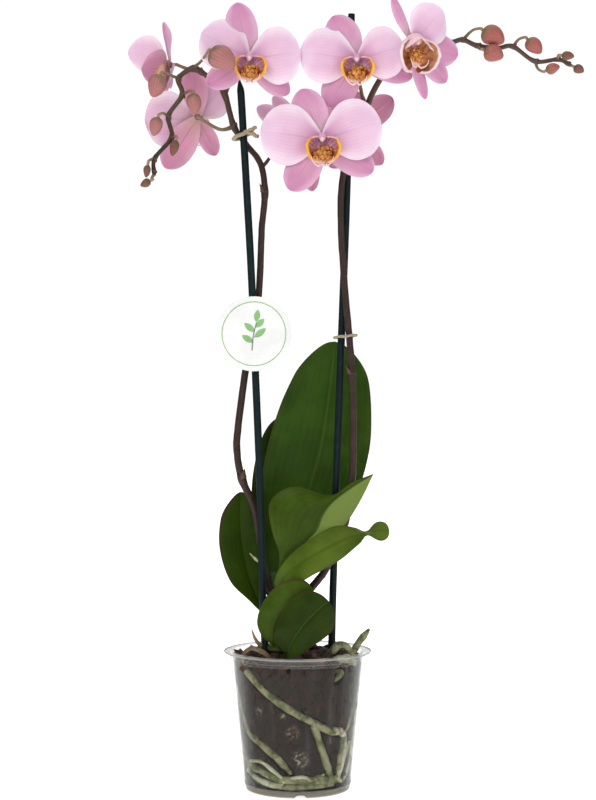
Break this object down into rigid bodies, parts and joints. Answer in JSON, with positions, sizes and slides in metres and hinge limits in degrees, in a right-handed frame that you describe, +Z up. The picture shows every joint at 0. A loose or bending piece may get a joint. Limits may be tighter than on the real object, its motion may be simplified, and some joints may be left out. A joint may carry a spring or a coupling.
{
  "type": "potted orchid",
  "caption": "Moth orchid in a clear grower's pot of bark, with two tall staked flower spikes of pink blooms and buds over broad strap leaves.",
  "frame": {"origin": "centre of the underside of the pot, at the surface it stands on", "axes": "+Z up the plant, -Y towards the front that the blooms face, +X to the right"},
  "size_m": [0.3699, 0.12, 0.6367],
  "materials": {
    "clear_plastic": "thin translucent polypropylene, slightly milky",
    "bark": "damp fir bark chips",
    "root": "pale grey-green orchid roots",
    "stem": "green plant stem",
    "leaf": "fleshy satin leaf",
    "spike": "dark purple-brown flower stalk",
    "petal": "soft pink petal",
    "lip": "waxy orange and magenta lip",
    "bud": "dusty rose-brown bud",
    "stake": "dark blue-green plastic-coated stake",
    "tie": "beige plastic-covered wire",
    "label": "white printed plastic"
  },
  "bodies": {
    "root": {"bark": "bark", "bloom_a": "petal", "bloom_b": "petal", "bloom_c": "petal", "bloom_d": "petal", "bloom_e": "petal", "bloom_f": "petal", "bloom_g": "petal", "bloom_h": "petal", "bud_left_1": "bud", "bud_left_2": "bud", "bud_left_3": "bud", "bud_left_4": "bud", "bud_left_5": "bud", "bud_left_6": "bud", "bud_left_7": "bud", "bud_right_1": "bud", "bud_right_2": "bud", "bud_right_3": "bud", "bud_right_4": "bud", "bud_right_5": "bud", "bud_right_6": "bud", "label": "label", "leaf_arching": "leaf", "leaf_back_left": "leaf", "leaf_big_back": "leaf", "leaf_folded": "leaf", "leaf_lower_left": "leaf", "leaf_round_front": "leaf", "leaf_small_front": "leaf", "lip_a": "lip", "lip_b": "lip", "lip_c": "lip", "lip_d": "lip", "lip_e": "lip", "lip_f": "lip", "lip_g": "lip", "lip_h": "lip", "pot": "clear_plastic", "roots": "root", "spike_left": "spike", "spike_right": "spike", "stake_left": "stake", "stake_right": "stake", "stem": "stem", "tie_left": "tie", "tie_right": "tie"}
  },
  "joints": []
}
